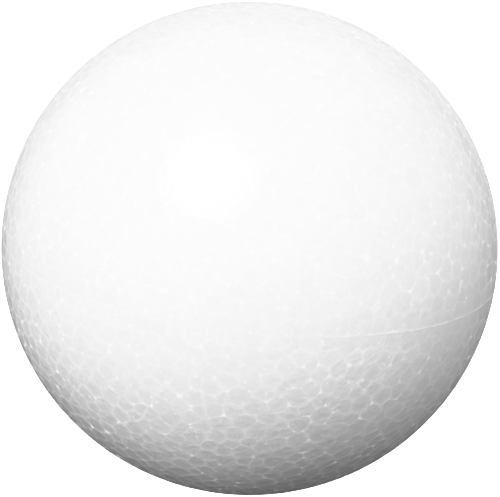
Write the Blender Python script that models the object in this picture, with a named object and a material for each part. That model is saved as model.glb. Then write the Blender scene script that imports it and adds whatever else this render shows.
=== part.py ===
"""A craft ball of expanded polystyrene, moulded in one piece.

Metres, +Z up. The origin is the centre of the ball. The two halves of the mould met at the equator,
so the parting line runs round it and the poles lie on the Z axis. Beads of foam that swelled against
the mould show as a mosaic: each bead's face is flat, and it meets its neighbours in straight borders.
"""

import math
import random

import bmesh
import bpy
from mathutils import Vector

# The ball
BALL_DIAMETER = 0.100
POLE_SHORTFALL = 0.0007

# The beads: their pitch, how far one strays from an even spread, how much its face stands in or out,
# which makes it smaller or bigger than its neighbours, and how much that face leans
BEAD_PITCH = 0.00347
BEAD_STRAY = 0.0014
FACE_STEP = 0.000018
FACE_LEAN = math.radians(0.3)
SHORTEST_BORDER = 0.0004
RELAX_ROUNDS = 6
BEAD_SEED = 11

# The first row of beads on each side of the parting line
EDGE_ROW_OFFSET = 0.0016
EDGE_ROW_STRAY = 0.0005

# The flash that the joint of the mould leaves: it stands clear over an arc round +X and is worn elsewhere
FLASH_WIDTH = 0.0004
FLASH_HEIGHT = 0.0001
FLASH_WORN_HEIGHT = 0.00004
FLASH_CLEAR_ARC = math.radians(120)
FLASH_FADE_ARC = math.radians(25)

# White foam
FOAM_COLOUR = (0.90, 0.90, 0.89, 1.0)
FOAM_ROUGHNESS = 0.65

GOLDEN_ANGLE = math.pi * (3 - math.sqrt(5))
ON_PARTING_LINE = 1e-6


def clear_scene():
    for obj in list(bpy.data.objects):
        bpy.data.objects.remove(obj, do_unlink=True)


def even_spread(count):
    """Directions spread evenly over a sphere, along one spiral from pole to pole."""
    for i in range(count):
        height = 1 - (2 * i + 1) / count
        ring = math.sqrt(1 - height * height)
        turn = i * GOLDEN_ANGLE
        yield Vector((ring * math.cos(turn), ring * math.sin(turn), height))


def random_step(rng, most):
    """A small random move, up to the given amount either way along each axis."""
    return Vector([rng.uniform(-most, most) for _ in range(3)])


def edge_row_beads(rng, radius):
    """Beads in facing pairs on the two sides of the parting line, which cuts them off straight."""
    count = round(2 * math.pi * radius / BEAD_PITCH)
    for i in range(count):
        stray = rng.uniform(-EDGE_ROW_STRAY, EDGE_ROW_STRAY)
        turn = 2 * math.pi * i / count + stray / radius
        offset = EDGE_ROW_OFFSET + rng.uniform(-EDGE_ROW_STRAY, EDGE_ROW_STRAY)
        for side in (1, -1):
            yield Vector((math.cos(turn), math.sin(turn), side * offset / radius)).normalized()


def free_beads(rng, radius):
    """Beads over the rest of the ball, each a little way from its place in the even spread."""
    bead_area = BEAD_PITCH ** 2 * math.sqrt(3) / 2
    count = round(4 * math.pi * radius ** 2 / bead_area)
    edge_band = (EDGE_ROW_OFFSET + BEAD_PITCH / 2) / radius
    for direction in even_spread(count):
        if abs(direction.z) > edge_band:
            yield (direction + random_step(rng, BEAD_STRAY / radius)).normalized()


def hull(points):
    mesh = bmesh.new()
    for point in points:
        mesh.verts.new(point)
    bmesh.ops.convex_hull(mesh, input=mesh.verts)
    bmesh.ops.recalc_face_normals(mesh, faces=mesh.faces)
    return mesh


def faces_round(vert):
    """The hull's triangles round one of its points, in turn."""
    first = vert.link_loops[0]
    loop = first
    while True:
        yield loop.face
        loop = loop.link_loop_prev.link_loop_radial_next
        if loop == first:
            return


def meeting_point(face):
    """Where the planes of three beads meet, from the hull's triangle that joins them."""
    return face.normal / face.normal.dot(face.verts[0].co)


def middle_of_face(vert):
    """The centre of area of the face of the bead that this point of the hull stands for."""
    first, *others = [meeting_point(face) for face in faces_round(vert)]
    moment = Vector()
    area = 0
    for second, third in zip(others, others[1:]):
        share = (second - first).cross(third - first).length
        moment += share * (first + second + third) / 3
        area += share
    return moment / area


def relaxed(fixed, free, heights):
    """The free beads again, each moved a few times to the middle of its own face."""
    for _ in range(RELAX_ROUNDS):
        duals = hull([bead / height for bead, height in zip(fixed + free, heights)])
        duals.verts.ensure_lookup_table()
        free = []
        for vert in duals.verts[len(fixed):]:
            place = middle_of_face(vert) if vert.link_loops else vert.co
            free.append(place.normalized())
        duals.free()
    return free


def face_planes(rng, radius):
    """One point for each bead: the way its face looks, divided by how far its plane is from the centre."""
    edge_row = list(edge_row_beads(rng, radius))
    free = list(free_beads(rng, radius))
    pair_heights = [radius + rng.uniform(-FACE_STEP, FACE_STEP) for _ in edge_row[::2]]
    edge_heights = [pair_heights[i // 2] for i in range(len(edge_row))]
    free_heights = [radius + rng.uniform(-FACE_STEP, FACE_STEP) for _ in free]
    for direction, height in zip(edge_row, edge_heights):
        yield direction / height
    for direction, height in zip(relaxed(edge_row, free, edge_heights + free_heights), free_heights):
        facing = (direction + random_step(rng, FACE_LEAN)).normalized()
        yield facing / (facing.dot(direction) * height)


def bead_mosaic(planes):
    """The solid that all the faces' planes enclose.

    Three planes meet in a corner for each triangle of the hull, and each point of the hull gives
    the face that has those corners.
    """
    duals = hull(planes)
    mosaic = bmesh.new()
    corners = {}
    for face in duals.faces:
        corners[face] = mosaic.verts.new(meeting_point(face))
    for vert in duals.verts:
        if vert.link_loops:
            mosaic.faces.new([corners[face] for face in faces_round(vert)])
    duals.free()
    return mosaic


def merge_close_corners(mesh):
    """Corners closer than the shortest border become one, and stay on the parting line if they were."""
    bmesh.ops.remove_doubles(mesh, verts=mesh.verts, dist=SHORTEST_BORDER)
    for vert in mesh.verts:
        if abs(vert.co.z) < SHORTEST_BORDER:
            vert.co.z = 0.0


def on_parting_line(vert):
    return abs(vert.co.z) < ON_PARTING_LINE


def flash_height(turn):
    """How far the flash stands out, from its turn about the Z axis."""
    past_clear_arc = (abs(turn) - FLASH_CLEAR_ARC / 2) / FLASH_FADE_ARC
    worn = min(max(past_clear_arc, 0), 1)
    return FLASH_HEIGHT + worn * (FLASH_WORN_HEIGHT - FLASH_HEIGHT)


def raise_flash(mesh, radius):
    """A thin ridge round the equator, with its crest on the parting line."""
    line = [edge for edge in mesh.edges if all(on_parting_line(vert) for vert in edge.verts)]
    bmesh.ops.bevel(
        mesh,
        geom=line,
        offset=FLASH_WIDTH / 2,
        offset_type="OFFSET",
        segments=2,
        profile=0.5,
        affect="EDGES",
    )
    for vert in mesh.verts:
        if on_parting_line(vert):
            turn = math.atan2(vert.co.y, vert.co.x)
            crest = radius + flash_height(turn)
            vert.co = Vector((crest * math.cos(turn), crest * math.sin(turn), 0))


def flatten_poles(mesh):
    """Across the parting line the ball measures a little less than along it."""
    share = (BALL_DIAMETER - POLE_SHORTFALL) / BALL_DIAMETER
    for vert in mesh.verts:
        vert.co.z *= share


def foam_material():
    material = bpy.data.materials.new("white_foam")
    material.use_nodes = True
    shader = material.node_tree.nodes["Principled BSDF"]
    shader.inputs["Base Color"].default_value = FOAM_COLOUR
    shader.inputs["Roughness"].default_value = FOAM_ROUGHNESS
    shader.inputs["Metallic"].default_value = 0.0
    return material


def make_ball():
    radius = BALL_DIAMETER / 2
    rng = random.Random(BEAD_SEED)
    mosaic = bead_mosaic(list(face_planes(rng, radius)))
    merge_close_corners(mosaic)
    raise_flash(mosaic, radius)
    flatten_poles(mosaic)
    bmesh.ops.recalc_face_normals(mosaic, faces=mosaic.faces)
    mesh = bpy.data.meshes.new("foam_ball")
    mosaic.to_mesh(mesh)
    mosaic.free()
    mesh.materials.append(foam_material())
    ball = bpy.data.objects.new("foam_ball", mesh)
    bpy.context.scene.collection.objects.link(ball)
    return ball


clear_scene()
make_ball()
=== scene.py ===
"""The polystyrene ball as it looks: white fused beads of foam, and the fine line that its mould left.

The solid ball's own facets are the start. Each one is a bead of foam that swelled against the mould.
Here its corners are cut off where beads meet, its border sinks into a shallow groove and its face
swells. Pips of foam stand up at some of the corners.
"""

import math

import bpy
import numpy as np
from mathutils import Matrix, Vector


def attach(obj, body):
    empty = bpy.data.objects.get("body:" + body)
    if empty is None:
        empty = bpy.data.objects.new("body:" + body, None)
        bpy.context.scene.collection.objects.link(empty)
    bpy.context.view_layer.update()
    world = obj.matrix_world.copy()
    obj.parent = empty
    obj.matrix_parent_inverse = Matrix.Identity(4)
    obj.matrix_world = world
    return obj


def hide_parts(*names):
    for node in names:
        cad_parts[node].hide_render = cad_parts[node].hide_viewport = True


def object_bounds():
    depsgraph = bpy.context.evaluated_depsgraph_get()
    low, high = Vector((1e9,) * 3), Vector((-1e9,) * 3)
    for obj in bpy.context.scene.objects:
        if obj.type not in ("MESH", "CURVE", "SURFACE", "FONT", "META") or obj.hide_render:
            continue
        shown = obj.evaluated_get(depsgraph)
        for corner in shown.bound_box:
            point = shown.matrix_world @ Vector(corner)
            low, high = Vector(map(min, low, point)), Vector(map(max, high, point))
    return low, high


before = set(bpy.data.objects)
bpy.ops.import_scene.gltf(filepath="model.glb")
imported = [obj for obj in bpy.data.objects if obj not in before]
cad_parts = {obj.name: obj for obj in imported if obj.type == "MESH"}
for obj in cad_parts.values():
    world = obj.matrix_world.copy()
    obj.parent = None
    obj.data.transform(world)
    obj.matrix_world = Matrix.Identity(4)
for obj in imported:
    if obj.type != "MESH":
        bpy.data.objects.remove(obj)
solid_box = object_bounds()

# The ball
BALL_RADIUS = 0.050

# The flash: its half width, how far from the parting plane a point still belongs to it, or to its crest,
# and how much the two ends of an edge along it may differ in height
FLASH_HALF_WIDTH = 0.0002
FLASH_REACH = 1.5 * FLASH_HALF_WIDTH
CREST_REACH = 0.5 * FLASH_HALF_WIDTH
LENGTHWISE_RISE = 0.1 * FLASH_HALF_WIDTH

# Joining the solid's triangles into beads
SAME_POINT = 0.000001
SAME_BEAD_ANGLE = math.radians(1.2)
SMALLEST_BEAD_AREA = 1.5e-6

# To how many decimals of a metre places are told apart where they are put in order
PLACE_DECIMALS = 5

# A bead's corners, groove, rim and face: a rise is a share of the face's own half width
CORNER_CUT_PERCENT = 18
GROOVE_DEPTH = 0.000015
RIM_PERCENT = 85
BEAD_SHOULDER = {"percent": 62, "rise": 0.02}
CROWN_RISE = 0.006
RIM_WELD = 0.25

# The pips: the share of corners that have one, and the clearest ones in the photograph's pixels. A bead's
# tone is a draw from 0 to 1, so a pip's tone tells it from every bead. A pip's tone and weld mark also
# whiten it, which is a painted glint
PIP_SHARE = 0.09
PIP_SEED = 5
PIP_CUT_PERCENT = 25
PIP_SHOULDER = {"percent": 45, "rise": 0.2}
PIP_GLINT_TONE = 2.0
PIP_WELD_AND_GLINT = 1.6
PIP_PIXELS = (
    (302, 358), (324, 359), (329, 372), (344, 366), (313, 384), (318, 392), (292, 391), (326, 401),
    (356, 371), (355, 382), (392, 364), (395, 378), (365, 390), (364, 407), (324, 414), (318, 418),
    (293, 427), (306, 444), (305, 451), (303, 461), (358, 417), (387, 429), (375, 441), (394, 400),
    (397, 392), (334, 404), (396, 263), (421, 263), (446, 246), (428, 279), (442, 272), (461, 271),
    (224, 393), (187, 396), (63, 342), (42, 230), (28, 254),
)

# The crest of the flash: how finely it is divided, how far it strays up or down and in or out, and the
# waves of each stray, as their number round the ball, size and start
FLASH_CUTS = 3
CREST_SWAY = 0.00006
CREST_SWAY_WAVES = ((23, 1.0, 0), (61, 0.7, 1), (97, 0.5, 2))
CREST_DIP = 0.00003
CREST_DIP_WAVES = ((37, 1.0, 0), (83, 0.8, 3))

# Where the flash shows clear, an arc about +X, how far it has sunk where it is worn, and how much it shows
# of the rough weld
FLASH_CLEAR_ARC = math.radians(120)
FLASH_FADE_ARC = math.radians(25)
WORN_DIP = 0.00003
FLASH_WELD = 2.6
WORN_WELD = 0.3
FLASH_UNEVENNESS = 0.8
FLASH_SEED = 7

# The foam's whites, from its greyest to its whitest spots, and the finish of its beads and their welds
FOAM_WHITES = ((0.74, 0.74, 0.74, 1), (0.98, 0.98, 0.98, 1))
BEAD_FINISH = {"IOR": 1.7, "Diffuse Roughness": 0.0}
WELD_FINISH = {
    "Roughness": 0.85,
    "Specular IOR Level": 0.1,
    "Diffuse Roughness": 1.0,
    "Sheen Weight": 1.0,
    "Sheen Roughness": 0.3,
}

# Where the foam lies between its two whites: each bead's own tone, the fine mottle in it, the welds, which
# are whiter, and a few whiter specks, which are painted glints. Draws and clouds lie about the middle value
MIDDLE_VALUE = 0.5
FOAM_TONE = 0.5
BEAD_TONE_SPREAD = 0.16
BEAD_SEED = 23
MOTTLE_SIZE = 0.0009
MOTTLE_DETAIL = 3.0
MOTTLE_SPREAD = 0.36
WELD_WHITENESS = 0.16
GLINT_SPECK_SIZE = 0.0011
GLINT_SPECK_DETAIL = 0.0
GLINT_SPECK_FLOOR = 0.7
GLINT_SPECK_WHITENESS = 4.0

# How smooth the beads' skin is: each bead has its own roughness
SKIN_ROUGHNESS = 0.12
BEAD_ROUGHNESS_SPREAD = 0.14

# How strong the rough welds are from patch to patch
WELD_PATCH_SIZE = 0.006
WELD_PATCH_DETAIL = 2.0
WELD_LEAST = 0.08
WELD_PATCHES = 0.42

# The relief: shallow dents, and the foam's fine cells
DENT_SIZE = 0.0015
DENT_DETAIL = 1.0
DENT_DEPTH = 0.0001
CELL_SIZE = 0.00033
CELL_DEPTH = 0.000008

# The camera, which looks a little down on the parting plane and leans, so that the pole leans right
CAMERA_DISTANCE = 8 * BALL_RADIUS
CAMERA_TURN = -math.pi / 2
CAMERA_ELEVATION = math.radians(17.4)
CAMERA_LEAN = math.radians(6.4)
SENSOR_WIDTH_MM = 36
FRAME_SIZE_PX = (500, 497)
BALL_WIDTH_PX = 497.2
BALL_MIDDLE_PX = (249.62, 248.18)
HALF_PIXEL = 0.5

# The soft lights: turn about Z from +X and elevation in degrees, width and brightness. Only two of them
# are mirrored in the beads' smooth faces. The glint does nothing else, and stands in front of the key
# light, as the two would show as a ring if they stood in one plane
LIGHT_DISTANCE = 0.8
GLINT_DISTANCE = 0.75
SOFT_LIGHTS = {
    "key_light": (240, 45, 0.40, 6.0),
    "glint_light": (240, 45, 0.47, 10.0),
    "left_light": (225, 30, 0.48, 3.4),
    "front_light": (255, 30, 0.48, 4.6),
    "top_light": (285, 50, 0.48, 0.8),
    "low_light": (240, 10, 0.48, 1.35),
    "right_light": (300, 30, 0.48, 0.6),
    "side_light": (0, 25, 0.50, 3.4),
    "back_light": (60, 25, 0.74, 2.6),
    "far_light": (135, 20, 0.74, 1.0),
    "rim_light": (90, 0, 0.80, 0.45),
}
MIRRORED_LIGHTS = ("glint_light", "rim_light")
GLINT_ONLY = "glint_light"
WHITE_LIGHT = (1, 1, 1, 1)
ROOM_GLOW = 0.1

# The floor, which curves up into a wall all round
FLOOR_RADIUS = 1.5
FLOOR_CURVE_RADIUS = 0.8
FLOOR_CURVE_STEPS = 12
WALL_HEIGHT = 1.2
FLOOR_SIDES = 96
FLOOR_COLOUR = (0.85, 0.85, 0.85, 1.0)
FLOOR_GLOW = 3.6

# The picture's tones: straight up to the knee, then a soft shoulder, on the curve for all three colours
TONE_KNEE = 0.7
TONE_TOP = 4.0
TONE_STEPS = 24
ALL_COLOURS_CURVE = 3


def open_mesh(piece, kind):
    """Only this piece is selected, and it is open for edits on its vertices, edges or faces.

    The kind is set first, or each face whose corners are all selected would become selected too.
    """
    bpy.ops.object.select_all(action="DESELECT")
    piece.select_set(True)
    bpy.context.view_layer.objects.active = piece
    bpy.context.tool_settings.mesh_select_mode = [kind == each for each in ("VERT", "EDGE", "FACE")]
    bpy.ops.object.mode_set(mode="EDIT")


def close_mesh():
    bpy.ops.object.mode_set(mode="OBJECT")


def select_only(mesh, elements, wanted):
    """Marks some vertices, edges or faces of a closed mesh, from one true or false for each."""
    for group in (mesh.vertices, mesh.edges, mesh.polygons):
        group.foreach_set("select", np.zeros(len(group), bool))
    elements.foreach_set("select", wanted)


def values(elements, name, width=1):
    """One property of every vertex, edge or face, as an array."""
    found = np.empty(len(elements) * width)
    elements.foreach_get(name, found)
    return found.reshape(-1, width) if width > 1 else found


def selected(elements):
    """True for each vertex, edge or face that the last step left selected."""
    return values(elements, "select").astype(bool)


def vertex_places(mesh):
    return values(mesh.vertices, "co", 3)


def mark(mesh, name, domain, amounts):
    """Writes an amount on each face or vertex, for the material to read."""
    mesh.attributes.new(name, "FLOAT", domain)
    mesh.attributes[name].data.foreach_set("value", amounts.astype(float))


def draws_by_place(places, seed):
    """A random draw from 0 to 1 for each place, the same in whatever order the places come."""
    in_order = np.lexsort(np.round(places, PLACE_DECIMALS).T)
    draws = np.empty(len(places))
    draws[in_order] = np.random.default_rng(seed).random(len(places))
    return draws


def off_flash(mesh):
    """True for each vertex that is clear of the thin ridge at the parting line."""
    return np.abs(vertex_places(mesh)[:, 2]) > FLASH_REACH


def faces_on_flash(mesh):
    """True for each face that lies wholly on the thin ridge at the parting line."""
    height = np.abs(vertex_places(mesh)[:, 2])
    return np.array([height[list(face.vertices)].max() < FLASH_REACH for face in mesh.polygons])


def on_crest(places):
    return np.abs(places[:, 2]) < CREST_REACH


def turn_about_z(places):
    """The turn of each place about Z, from +X."""
    return np.arctan2(places[:, 1], places[:, 0])


def flash_clearness(turn):
    """From 1, where the flash stands clear, to 0, where it is worn, by the turn about Z from +X."""
    return np.clip((FLASH_CLEAR_ARC / 2 + FLASH_FADE_ARC - np.abs(turn)) / FLASH_FADE_ARC, 0, 1)


def sum_of_waves(turn, waves):
    return sum(size * np.sin(number * turn + start) for number, size, start in waves)


def bead_faces(mesh):
    return (values(mesh.polygons, "area") > SMALLEST_BEAD_AREA) & ~faces_on_flash(mesh)


def pip_faces(mesh):
    """True for each face of a pip: its tone lies above 1, which no bead's does."""
    return values(mesh.attributes["bead_tone_and_pip_glint"].data, "value") > 1


def joined_beads():
    """A copy of the solid ball, with its triangles joined into one face for each bead."""
    skin = bpy.data.objects.new("bead_skin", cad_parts["foam_ball"].data.copy())
    bpy.context.scene.collection.objects.link(skin)
    open_mesh(skin, "FACE")
    bpy.ops.mesh.select_all(action="SELECT")
    bpy.ops.mesh.remove_doubles(threshold=SAME_POINT)
    close_mesh()
    select_only(skin.data, skin.data.polygons, ~faces_on_flash(skin.data))
    open_mesh(skin, "FACE")
    bpy.ops.mesh.dissolve_limited(angle_limit=SAME_BEAD_ANGLE)
    close_mesh()
    return skin


def divide_flash(skin):
    """The ridge's long edges get more points, so that its crest can stray a little."""
    mesh = skin.data
    select_only(mesh, mesh.polygons, faces_on_flash(mesh))
    open_mesh(skin, "FACE")
    bpy.ops.mesh.tris_convert_to_quads(face_threshold=math.pi, shape_threshold=math.pi)
    close_mesh()
    height = vertex_places(mesh)[:, 2]
    ends = height[values(mesh.edges, "vertices", 2).astype(int)]
    lengthwise = (np.abs(ends) < FLASH_REACH).all(axis=1)
    lengthwise &= np.abs(ends[:, 0] - ends[:, 1]) < LENGTHWISE_RISE
    select_only(mesh, mesh.edges, lengthwise)
    open_mesh(skin, "EDGE")
    bpy.ops.mesh.subdivide(number_cuts=FLASH_CUTS)
    close_mesh()


def sway_crest(skin):
    """The crest of the flash wanders by a few hundredths of a millimetre, and is lower where it is worn."""
    places = vertex_places(skin.data)
    crest = on_crest(places)
    turn = turn_about_z(places[crest])
    sway = sum_of_waves(turn, CREST_SWAY_WAVES)
    wave = sum_of_waves(turn, CREST_DIP_WAVES)
    clear = flash_clearness(turn)
    dip = clear * (1 - wave) * CREST_DIP / 2 + (1 - clear) * WORN_DIP
    places[crest, 2] = sway * CREST_SWAY / 2
    places[crest, :2] *= 1 - dip[:, None] / BALL_RADIUS
    skin.data.vertices.foreach_set("co", places.ravel())
    skin.data.update()


def cut_corners(skin, corners, percent):
    """The chosen corners are cut off, and each leaves a small face; true for each of these faces."""
    mesh = skin.data
    select_only(mesh, mesh.vertices, corners)
    open_mesh(skin, "VERT")
    bpy.ops.mesh.bevel(
        affect="VERTICES",
        offset_type="PERCENT",
        offset_pct=percent,
        segments=1,
        clamp_overlap=False,
    )
    close_mesh()
    return selected(mesh.polygons)


def peak(skin, chosen, rise):
    """The chosen faces rise to a point in their middles."""
    select_only(skin.data, skin.data.polygons, chosen)
    open_mesh(skin, "FACE")
    bpy.ops.mesh.poke(offset=rise, use_relative_offset=True, center_mode="MEDIAN_WEIGHTED")
    close_mesh()


def draw_in(skin, chosen, percent, rise=0.0):
    """The chosen faces rise to a point that is cut off level, and leave smaller faces; true for each."""
    rim_end = len(skin.data.vertices)
    peak(skin, chosen, rise)
    return cut_corners(skin, np.arange(len(skin.data.vertices)) >= rim_end, percent)


def pip_corners(mesh):
    """True for each corner that has a pip: some by chance, and those that the photograph shows."""
    places = vertex_places(mesh)
    corners = off_flash(mesh)
    chosen = corners & (draws_by_place(places, PIP_SEED) < PIP_SHARE)
    for pixel in PIP_PIXELS:
        distance = np.linalg.norm(places - np.array(spot_on_ball(pixel)), axis=1)
        chosen[np.where(corners, distance, np.inf).argmin()] = True
    return chosen


def raise_pips(skin):
    """Every corner is cut off, and at some of them foam stands up in a small pip, whitened as a painted
    glint.
    """
    mesh = skin.data
    pips = cut_corners(skin, pip_corners(mesh), PIP_CUT_PERCENT)
    pip_rims = selected(mesh.vertices)
    tones = draws_by_place(values(mesh.polygons, "center", 3), BEAD_SEED)
    # A pip's tone lies far above every bead's, which whitens it: a painted glint
    mark(mesh, "bead_tone_and_pip_glint", "FACE", np.where(pips, PIP_GLINT_TONE, tones))
    cut_corners(skin, off_flash(mesh) & ~pip_rims, CORNER_CUT_PERCENT)
    peak(skin, draw_in(skin, pip_faces(mesh), **PIP_SHOULDER), rise=0.0)


def swell_beads(skin):
    """Each bead's face is drawn in from its border, the borders sink and the faces swell.

    New vertices come after the old ones. Gives the numbers at which those of the borders and those of
    the rims end.
    """
    mesh = skin.data
    border_end = len(mesh.vertices)
    faces = draw_in(skin, bead_faces(mesh), RIM_PERCENT)
    rim_end = len(mesh.vertices)
    select_only(mesh, mesh.vertices, (np.arange(rim_end) < border_end) & off_flash(mesh))
    open_mesh(skin, "VERT")
    bpy.ops.transform.shrink_fatten(value=-GROOVE_DEPTH)
    close_mesh()
    peak(skin, draw_in(skin, faces, **BEAD_SHOULDER), CROWN_RISE)
    return border_end, rim_end


def mark_welds(mesh, border_end, rim_end):
    """How much each vertex shows of the rough weld: most on borders and pips, a little on the rims.

    On the flash it is the crest that shows it, and the whole width where the flash is worn. On a pip the
    weld's extra whiteness is a painted glint.
    """
    order = np.arange(len(mesh.vertices))
    weld = np.where(order < border_end, 1.0, np.where(order < rim_end, RIM_WELD, 0.0))
    for face, is_pip in zip(mesh.polygons, pip_faces(mesh)):
        if is_pip:
            # A pip gets more of the weld's whiteness than a border, which paints a glint on it
            weld[list(face.vertices)] = PIP_WELD_AND_GLINT
    places = vertex_places(mesh)
    clear = flash_clearness(turn_about_z(places))
    uneven = 1 + FLASH_UNEVENNESS * (2 * draws_by_place(places, FLASH_SEED) - 1)
    flash = uneven * (np.where(on_crest(places), FLASH_WELD, 0) * clear + WORN_WELD * (1 - clear))
    mark(mesh, "weld", "POINT", np.where(off_flash(mesh), weld, flash))


def make_skin():
    skin = joined_beads()
    divide_flash(skin)
    sway_crest(skin)
    raise_pips(skin)
    mark_welds(skin.data, *swell_beads(skin))
    open_mesh(skin, "FACE")
    bpy.ops.mesh.select_all(action="SELECT")
    bpy.ops.mesh.faces_shade_smooth()
    close_mesh()
    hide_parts("foam_ball")
    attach(skin, "root")
    return skin


class Signal:
    """A value on its way through a material; sums and products on it add Math nodes."""

    def __init__(self, bench, socket):
        self.bench = bench
        self.socket = socket

    def math(self, operation, first, second):
        return self.bench.add("ShaderNodeMath", {"operation": operation}, {0: first, 1: second})

    def __add__(self, other):
        return self.math("ADD", self, other)

    __radd__ = __add__

    def __mul__(self, other):
        return self.math("MULTIPLY", self, other)

    __rmul__ = __mul__

    def __sub__(self, other):
        return self.math("SUBTRACT", self, other)


class Bench:
    """Where a material is put together: it adds nodes and wires them up."""

    def __init__(self, name):
        self.material = bpy.data.materials.new(name)
        self.material.use_nodes = True
        self.tree = self.material.node_tree
        self.tree.nodes.remove(self.tree.nodes["Principled BSDF"])

    def finish(self, shader):
        self.feed(self.tree.nodes["Material Output"].inputs["Surface"], shader)

    def feed(self, socket, value):
        if isinstance(value, Signal):
            self.tree.links.new(value.socket, socket)
        else:
            socket.default_value = value

    def add(self, kind, settings, inputs, output=0):
        node = self.tree.nodes.new(kind)
        for name, setting in settings.items():
            setattr(node, name, setting)
        for name, value in inputs.items():
            self.feed(node.inputs[name], value)
        return Signal(self, node.outputs[output])

    def principled(self, inputs):
        return self.add("ShaderNodeBsdfPrincipled", {}, inputs)

    def attribute(self, name):
        return self.add("ShaderNodeAttribute", {"attribute_name": name}, {}, "Fac")

    def place(self):
        return self.add("ShaderNodeTexCoord", {}, {}, "Object")

    def cloud(self, place, size, detail):
        return self.add("ShaderNodeTexNoise", {}, {"Vector": place, "Scale": 1 / size, "Detail": detail})

    def above(self, value, floor):
        """How far a value stands above a floor, and nothing where it doesn't."""
        settings = {"operation": "SUBTRACT", "use_clamp": True}
        return self.add("ShaderNodeMath", settings, {0: value, 1: floor})

    def blend(self, share, first, second):
        """A mix of two colours, by the share of the second."""
        node = self.tree.nodes.new("ShaderNodeMix")
        node.data_type = "RGBA"
        sockets = {socket.identifier: socket for socket in node.inputs}
        self.feed(sockets["Factor_Float"], share)
        self.feed(sockets["A_Color"], first)
        self.feed(sockets["B_Color"], second)
        return Signal(self, node.outputs["Result"])


def foam_white(bench, place, weld_mark, patch, own_draw_and_pip_glint):
    """The foam's colour, from spot to spot between its two whites."""
    mottle = bench.cloud(place, MOTTLE_SIZE, MOTTLE_DETAIL)
    # A pip's tone lies far above any bead's, so it comes out whiter: a painted glint
    bead_tone_and_pip_glint = (own_draw_and_pip_glint - MIDDLE_VALUE) * BEAD_TONE_SPREAD
    # The specks are painted glints: whiter spots of colour where light would catch the foam
    painted_glint_specks = bench.above(bench.cloud(place, GLINT_SPECK_SIZE, GLINT_SPECK_DETAIL), GLINT_SPECK_FLOOR) * GLINT_SPECK_WHITENESS
    whiter_welds_and_glints = weld_mark * patch * WELD_WHITENESS + painted_glint_specks
    tone = FOAM_TONE + bead_tone_and_pip_glint + (mottle - MIDDLE_VALUE) * MOTTLE_SPREAD + whiter_welds_and_glints
    return bench.blend(tone, *FOAM_WHITES)


def foam_relief(bench, place):
    """The slopes of the shallow dents and of the fine cells."""
    cells = bench.add("ShaderNodeTexVoronoi", {"feature": "F1"}, {"Vector": place, "Scale": 1 / CELL_SIZE})
    relief = bench.cloud(place, DENT_SIZE, DENT_DETAIL) * DENT_DEPTH - cells * CELL_DEPTH
    return bench.add("ShaderNodeBump", {}, {"Strength": 1.0, "Distance": 1.0, "Height": relief})


def foam_material():
    """White foam: its beads have a smooth skin from the mould, and their welds are matt and rough.

    A rough weld shines no brighter than a bead where the light falls square on it, but it stays bright
    where the light grazes it.
    """
    bench = Bench("white_foam_skin")
    place = bench.place()
    patch = bench.cloud(place, WELD_PATCH_SIZE, WELD_PATCH_DETAIL)
    weld_mark = bench.attribute("weld")
    own_draw_and_pip_glint = bench.attribute("bead_tone_and_pip_glint")
    white = foam_white(bench, place, weld_mark, patch, own_draw_and_pip_glint)
    surface = {"Base Color": white, "Normal": foam_relief(bench, place)}
    roughness = own_draw_and_pip_glint * BEAD_ROUGHNESS_SPREAD + SKIN_ROUGHNESS
    bead = bench.principled({**BEAD_FINISH, **surface, "Roughness": roughness})
    weld = bench.principled({**WELD_FINISH, **surface})
    share = weld_mark * (WELD_LEAST + WELD_PATCHES * patch)
    bench.finish(bench.add("ShaderNodeMixShader", {}, {0: share, 1: bead, 2: weld}))
    return bench.material


def floor_material():
    """A pale floor with a glow of its own, so that it shows white behind the ball."""
    bench = Bench("pale_floor")
    glow = {"Emission Color": WHITE_LIGHT, "Emission Strength": FLOOR_GLOW}
    bench.finish(bench.principled({"Base Color": FLOOR_COLOUR, **glow}))
    return bench.material


def floor_edge_steps():
    """How far out and up each step of the floor's edge goes: a quarter of a circle, then the wall."""
    step = math.pi / 2 / FLOOR_CURVE_STEPS
    for i in range(FLOOR_CURVE_STEPS):
        out = FLOOR_CURVE_RADIUS * (math.sin((i + 1) * step) - math.sin(i * step))
        up = FLOOR_CURVE_RADIUS * (math.cos(i * step) - math.cos((i + 1) * step))
        yield out, up
    yield 0, WALL_HEIGHT


def make_floor(low):
    """A round floor, its edge turned up in a curve and drawn on into a wall."""
    bpy.ops.object.select_all(action="DESELECT")
    bpy.ops.mesh.primitive_circle_add(
        vertices=FLOOR_SIDES, radius=FLOOR_RADIUS, fill_type="NGON", location=(0, 0, low)
    )
    floor = bpy.context.object
    floor.name = "floor"
    bpy.ops.object.transform_apply(location=True, rotation=False, scale=False)
    open_mesh(floor, "EDGE")
    bpy.ops.mesh.select_all(action="SELECT")
    radius = FLOOR_RADIUS
    for out, up in floor_edge_steps():
        bpy.ops.mesh.extrude_edges_move(TRANSFORM_OT_translate={"value": (0, 0, up)})
        share = (radius + out) / radius
        bpy.ops.transform.resize(value=(share, share, 1), center_override=(0, 0, 0))
        radius += out
    close_mesh()
    floor.data.materials.append(floor_material())
    floor.visible_diffuse = False
    floor.visible_glossy = False
    floor.visible_shadow = False


def outward(turn, elevation):
    """The direction from the ball's centre, by turn about Z from +X and elevation."""
    return Vector(
        (
            math.cos(elevation) * math.cos(turn),
            math.cos(elevation) * math.sin(turn),
            math.sin(elevation),
        )
    )


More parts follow.
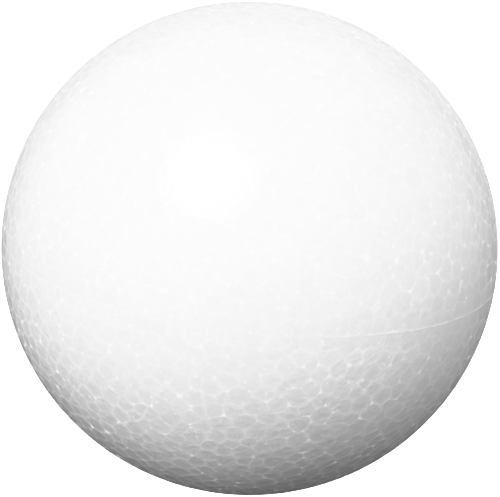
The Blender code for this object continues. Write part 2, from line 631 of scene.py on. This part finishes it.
def make_light(name, turn, elevation, width, brightness):
    """A round light that faces the ball, with the power that makes its face this bright."""
    away = outward(math.radians(turn), math.radians(elevation))
    distance = GLINT_DISTANCE if name == GLINT_ONLY else LIGHT_DISTANCE
    bpy.ops.object.light_add(type="AREA", location=away * distance)
    light = bpy.context.object
    light.name = name
    light.rotation_euler = away.to_track_quat("Z", "Y").to_euler()
    light.data.shape = "DISK"
    light.data.size = width
    light.data.energy = brightness * math.pi * width ** 2
    light.visible_camera = False
    light.visible_glossy = name in MIRRORED_LIGHTS
    light.visible_diffuse = name != GLINT_ONLY


def make_lights():
    for name, settings in SOFT_LIGHTS.items():
        make_light(name, *settings)


def make_room():
    """The room's own faint glow, the same from every side."""
    room = bpy.data.worlds.new("room")
    room.use_nodes = True
    background = room.node_tree.nodes["Background"]
    background.inputs["Color"].default_value = WHITE_LIGHT
    background.inputs["Strength"].default_value = ROOM_GLOW
    bpy.context.scene.world = room


def camera_side():
    """The direction from the ball's centre to the camera."""
    return outward(CAMERA_TURN, CAMERA_ELEVATION)


def camera_place():
    return camera_side() * CAMERA_DISTANCE


def camera_turn():
    upright = camera_side().to_track_quat("Z", "Y")
    return upright.to_matrix() @ Matrix.Rotation(CAMERA_LEAN, 3, "Z")


def ball_half_view():
    """The tangent of half the angle that the ball fills."""
    return math.tan(math.asin(BALL_RADIUS / CAMERA_DISTANCE))


def spot_on_ball(pixel):
    """The point of the ball that shows at a pixel of the photograph."""
    scale = ball_half_view() / (BALL_WIDTH_PX / 2)
    across = (pixel[0] + HALF_PIXEL - BALL_MIDDLE_PX[0]) * scale
    down = (pixel[1] + HALF_PIXEL - BALL_MIDDLE_PX[1]) * scale
    sight = (camera_turn() @ Vector((across, -down, -1))).normalized()
    along = -sight.dot(camera_place())
    aside = (camera_place() + sight * along).length
    return camera_place() + sight * (along - math.sqrt(max(BALL_RADIUS ** 2 - aside ** 2, 0)))


def make_camera():
    bpy.ops.object.camera_add()
    camera = bpy.context.object
    camera.name = "camera"
    camera.matrix_world = Matrix.Translation(camera_place()) @ camera_turn().to_4x4()
    half_view = ball_half_view() * FRAME_SIZE_PX[0] / BALL_WIDTH_PX
    camera.data.sensor_width = SENSOR_WIDTH_MM
    camera.data.lens = SENSOR_WIDTH_MM / 2 / half_view
    camera.data.shift_x = (FRAME_SIZE_PX[0] / 2 - BALL_MIDDLE_PX[0]) / FRAME_SIZE_PX[0]
    camera.data.shift_y = (BALL_MIDDLE_PX[1] - FRAME_SIZE_PX[1] / 2) / FRAME_SIZE_PX[0]
    bpy.context.scene.camera = camera


def set_tones():
    """The picture's tones run straight up to a knee, then ease off into white."""
    view = bpy.context.scene.view_settings
    view.view_transform = "Standard"
    view.use_curve_mapping = True
    mapping = view.curve_mapping
    mapping.white_level = (TONE_TOP, TONE_TOP, TONE_TOP)
    curve = mapping.curves[ALL_COLOURS_CURVE]
    for step in range(TONE_STEPS + 1):
        light = TONE_KNEE + (TONE_TOP - TONE_KNEE) * (step / TONE_STEPS) ** 2
        over = (light - TONE_KNEE) / (1 - TONE_KNEE)
        shown = TONE_KNEE + (1 - TONE_KNEE) * (1 - math.exp(-over))
        if step == TONE_STEPS:
            curve.points[-1].location = (1, shown)
        else:
            curve.points.new(light / TONE_TOP, shown)
    mapping.update()


skin = make_skin()
skin.data.materials.clear()
skin.data.materials.append(foam_material())
make_floor(solid_box[0].z)
make_lights()
make_room()
make_camera()
set_tones()
